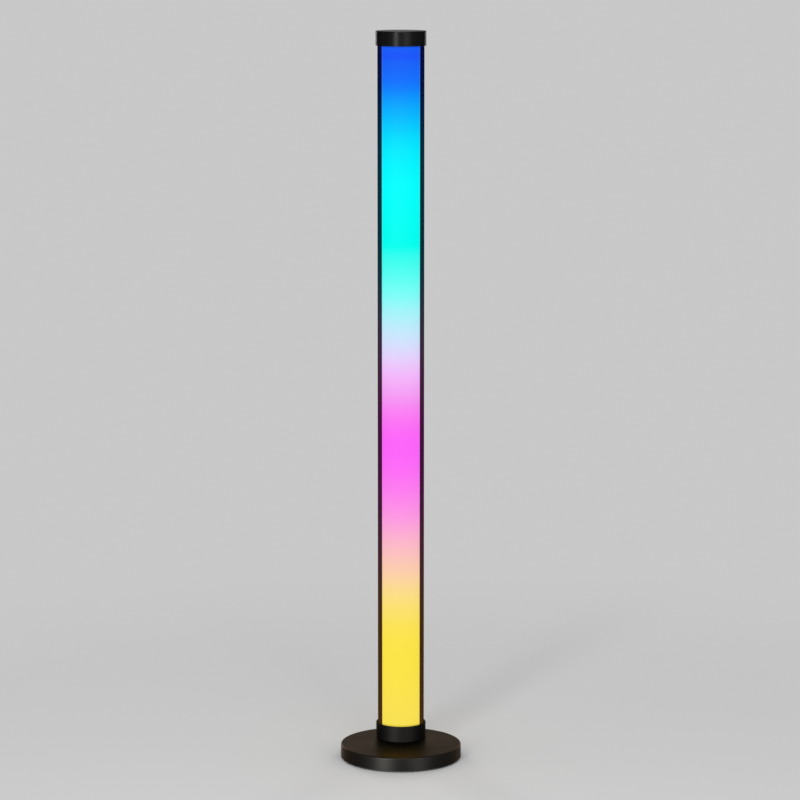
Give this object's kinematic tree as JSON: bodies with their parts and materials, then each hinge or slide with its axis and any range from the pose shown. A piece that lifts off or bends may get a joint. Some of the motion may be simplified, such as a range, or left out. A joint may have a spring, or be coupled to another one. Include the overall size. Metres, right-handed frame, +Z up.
{
  "type": "corner floor lamp",
  "caption": "Tall round light tube with front and rear opal covers between black side rails, set back on a round weighted base, with a rear power inlet and a push button.",
  "frame": {"origin": "centre of the round base where its pad meets the floor", "axes": "+Z up along the tube; -Y is the front; the tube stands behind the base's centre, on the +Y side, where the power inlet and the push button also are"},
  "size_m": [0.2, 0.2, 1.205],
  "materials": {
    "base_black": "satin black powder coat",
    "collar_black": "satin black lacquer on turned aluminium",
    "rail_black": "black anodised extrusion",
    "opal_cover": "opal extruded acrylic, satin",
    "cast_iron": "raw casting",
    "zinc_steel": "zinc plated",
    "black_steel": "black oxide",
    "pad_rubber": "matte",
    "raw_aluminium": "milled",
    "tape_white": "white solder mask",
    "led_resin": "clear resin over phosphor",
    "lead_white": "flat vinyl lead",
    "plug_cream": "nylon",
    "board_green": "green solder mask",
    "chip_black": "moulded epoxy",
    "jack_black": "moulded",
    "contact_brass": "plated",
    "plunger_grey": "moulded",
    "button_black": "fine grain",
    "seal_foam": "closed-cell foam"
  },
  "bodies": {
    "lamp": {"base_shell": "base_black", "base_weight": "cast_iron", "base_bottom_plate": "zinc_steel", "base_plate_screws": "zinc_steel", "base_pad": "pad_rubber", "stem_bolts": "black_steel", "stem_washers": "zinc_steel", "lower_collar": "collar_black", "lower_end_plate": "raw_aluminium", "lower_end_screws": "zinc_steel", "spine": "rail_black", "front_diffuser": "opal_cover", "rear_diffuser": "opal_cover", "front_led_tape": "tape_white", "front_leds": "led_resin", "rear_led_tape": "tape_white", "rear_leds": "led_resin", "front_lead": "lead_white", "rear_lead": "lead_white", "lead_plugs": "plug_cream", "control_board": "board_green", "board_parts": "chip_black", "board_screws": "zinc_steel", "dc_jack": "jack_black", "dc_jack_contact": "contact_brass", "button_switch": "jack_black", "upper_end_plate": "raw_aluminium", "upper_end_screws": "zinc_steel", "cap_seal": "seal_foam", "top_cap": "collar_black", "cap_grub_screws": "black_steel"},
    "button": {"push_button": "button_black", "switch_plunger": "plunger_grey"}
  },
  "joints": [
    {"name": "button_press", "type": "slide", "parent": "lamp", "child": "button", "axis": [0, -1, 0], "range_m": [0, 0.0005], "stiffness_N_per_m": 2000}
  ]
}
